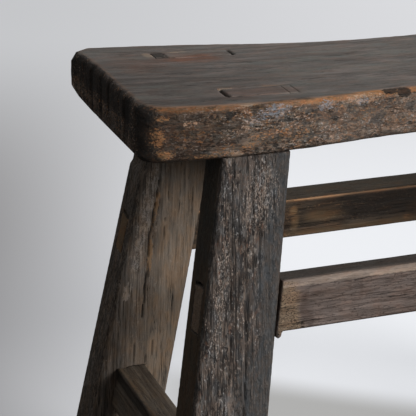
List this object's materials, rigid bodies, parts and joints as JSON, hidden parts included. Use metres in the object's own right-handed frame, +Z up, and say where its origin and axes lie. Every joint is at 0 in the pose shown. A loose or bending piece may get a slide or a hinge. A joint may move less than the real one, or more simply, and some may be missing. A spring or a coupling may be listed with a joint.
{
  "type": "plank stool",
  "caption": "Rustic plank stool: a dished, waisted seat on splayed legs that are wedged through it, tied by through-tenoned long rails and end rails.",
  "frame": {"origin": "on the floor, under the middle of the seat", "axes": "+X along the plank to the right, +Y across it to the back, +Z up from the floor"},
  "size_m": [0.6126, 0.2894, 0.4499],
  "materials": {
    "seat_wood": "worn, weathered",
    "leg_wood": "weathered, cracked",
    "rail_wood": "weathered",
    "wedge_wood": "weathered"
  },
  "bodies": {
    "root": {"seat_plank": "seat_wood", "leg_front_left": "leg_wood", "leg_front_right": "leg_wood", "leg_back_left": "leg_wood", "leg_back_right": "leg_wood", "long_rail_front": "rail_wood", "long_rail_back": "rail_wood", "end_rail_left": "rail_wood", "end_rail_right": "rail_wood", "wedge_front_left_outer": "wedge_wood", "wedge_front_left_inner": "wedge_wood", "wedge_front_right_outer": "wedge_wood", "wedge_front_right_inner": "wedge_wood", "wedge_back_left_outer": "wedge_wood", "wedge_back_left_inner": "wedge_wood", "wedge_back_right_outer": "wedge_wood", "wedge_back_right_inner": "wedge_wood"}
  },
  "joints": []
}
